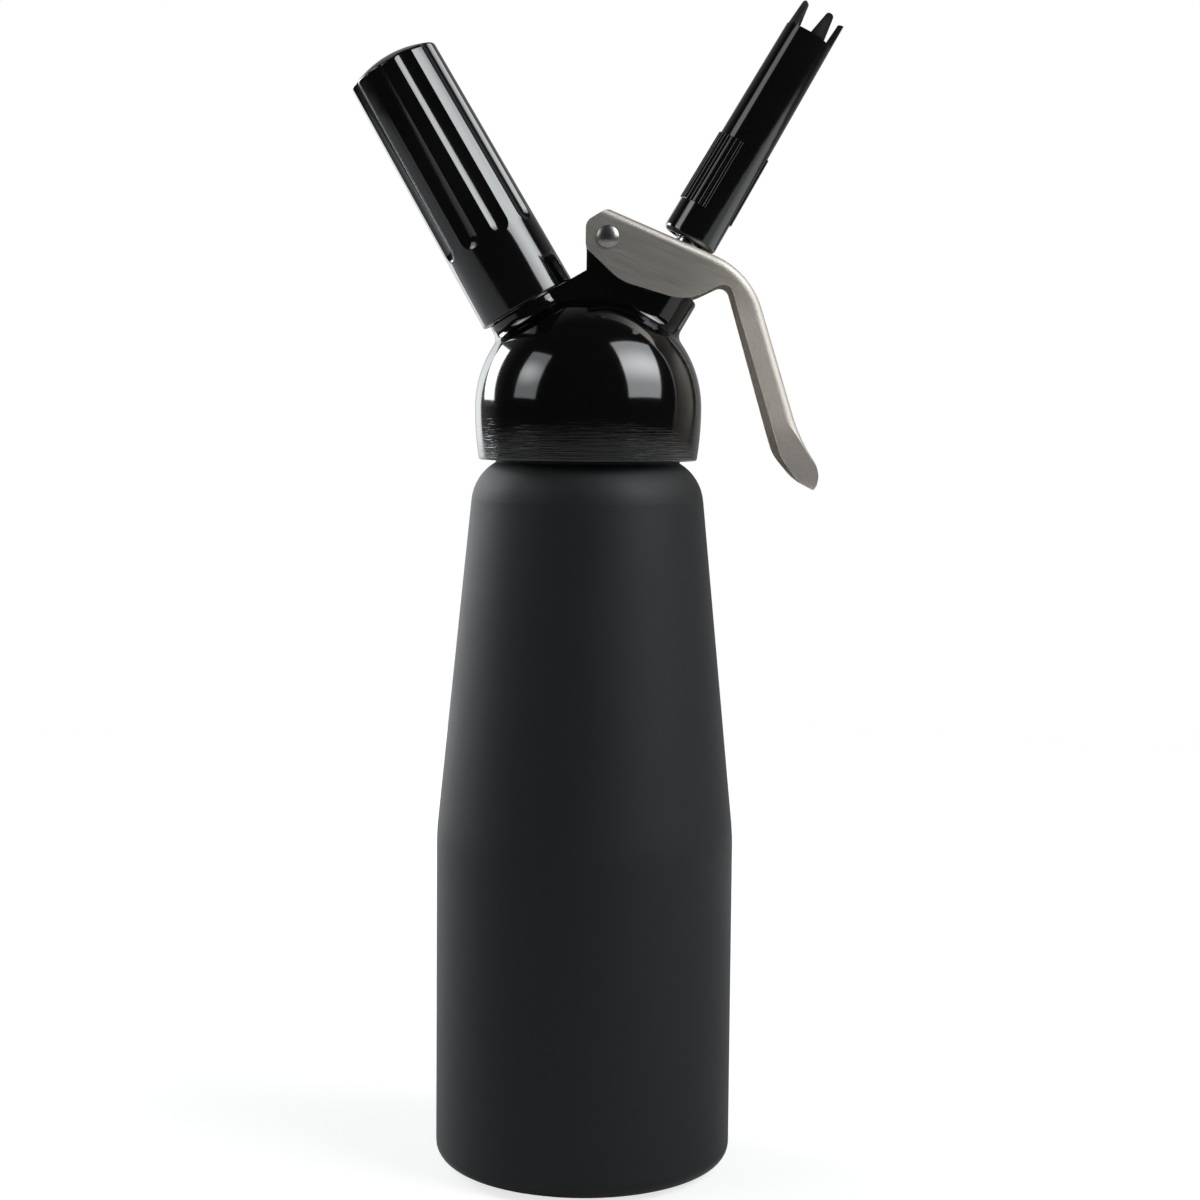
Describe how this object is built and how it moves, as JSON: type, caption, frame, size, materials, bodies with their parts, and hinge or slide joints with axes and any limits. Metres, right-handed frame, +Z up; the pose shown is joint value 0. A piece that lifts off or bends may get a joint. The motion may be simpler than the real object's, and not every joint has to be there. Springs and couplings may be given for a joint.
{
  "type": "cream whipper",
  "caption": "Pressurised cream whipper: black bottle with a screw-on domed head, gas charger holder, sprung valve lever and toothed decorating nozzle.",
  "frame": {"origin": "centre of the ring foot, in the plane it stands on", "axes": "+Z up along the bottle's axis, +X towards the lever and the nozzle, -Y towards the picture's camera"},
  "size_m": [0.1301, 0.0804, 0.3137],
  "materials": {
    "matt_black": "matte",
    "gloss_black": "gloss",
    "holder_black": "gloss",
    "nozzle_black": "gloss",
    "lever_steel": "satin",
    "pin_steel": "polished",
    "stem_steel": "polished",
    "turned_steel": "satin",
    "stud_steel": "satin",
    "charger_steel": "satin",
    "bush_white": "matte",
    "seal_rubber": "matte",
    "gasket_rubber": "matte"
  },
  "bodies": {
    "bottle": {"bottle": "matt_black"},
    "gasket": {"head_gasket": "gasket_rubber"},
    "head": {"head": "gloss_black", "charger_stud": "stud_steel", "stud_seal": "seal_rubber", "piercing_pin": "turned_steel", "charger_seal": "seal_rubber", "check_valve": "seal_rubber", "valve_bush": "bush_white", "bush_seal": "seal_rubber", "stem_seal": "seal_rubber", "valve_spring": "turned_steel"},
    "charger": {"charger": "charger_steel"},
    "holder": {"charger_holder": "holder_black"},
    "lever": {"lever": "lever_steel", "lever_pin": "pin_steel", "pin_cap": "pin_steel"},
    "valve": {"valve_stem": "stem_steel", "valve_seal": "gasket_rubber", "seal_washer": "turned_steel", "valve_nut": "turned_steel"},
    "tip_seal": {"nozzle_seal": "seal_rubber"},
    "nozzle": {"nozzle": "nozzle_black"}
  },
  "joints": [
    {"name": "head_lift", "type": "slide", "parent": "bottle", "child": "gasket", "axis": [0, 0, 1], "range_m": [0, 0.016]},
    {"name": "head_turn", "type": "hinge", "parent": "gasket", "child": "head", "pos_m": [0, 0, 0.2054], "axis": [0, 0, 1], "range_deg": [0, 1440]},
    {"name": "charger_lift", "type": "slide", "parent": "head", "child": "charger", "axis": [-0.5015, 0, 0.8652], "range_m": [0, 0.0125]},
    {"name": "holder_turn", "type": "hinge", "parent": "charger", "child": "holder", "pos_m": [0, 0, 0.2054], "axis": [-0.5015, 0, 0.8652], "range_deg": [0, 1800]},
    {"name": "lever_press", "type": "hinge", "parent": "head", "child": "lever", "pos_m": [0.00485, 0, 0.251], "axis": [0, 1, 0], "range_deg": [0, 12], "stiffness_Nm_per_rad": 0.6, "springref_deg": -11.46},
    {"name": "stem_push", "type": "slide", "parent": "head", "child": "valve", "axis": [-0.5015, 0, -0.8652], "range_m": [0, 0.00376], "deforming": ["valve_spring"]},
    {"name": "nozzle_lift", "type": "slide", "parent": "valve", "child": "tip_seal", "axis": [0.5015, 0, 0.8652], "range_m": [0, 0.0105]},
    {"name": "nozzle_turn", "type": "hinge", "parent": "tip_seal", "child": "nozzle", "pos_m": [0, 0, 0.2054], "axis": [0.5015, 0, 0.8652], "range_deg": [0, 2160]}
  ],
  "couplings": [
    {"joint": "head_lift", "follows": "head_turn", "m_per_rad": 0.00063661},
    {"joint": "charger_lift", "follows": "holder_turn", "m_per_rad": 0.00039789},
    {"joint": "stem_push", "follows": "lever_press", "m_per_rad": 0.01791},
    {"joint": "nozzle_lift", "follows": "nozzle_turn", "m_per_rad": 0.00027852}
  ]
}
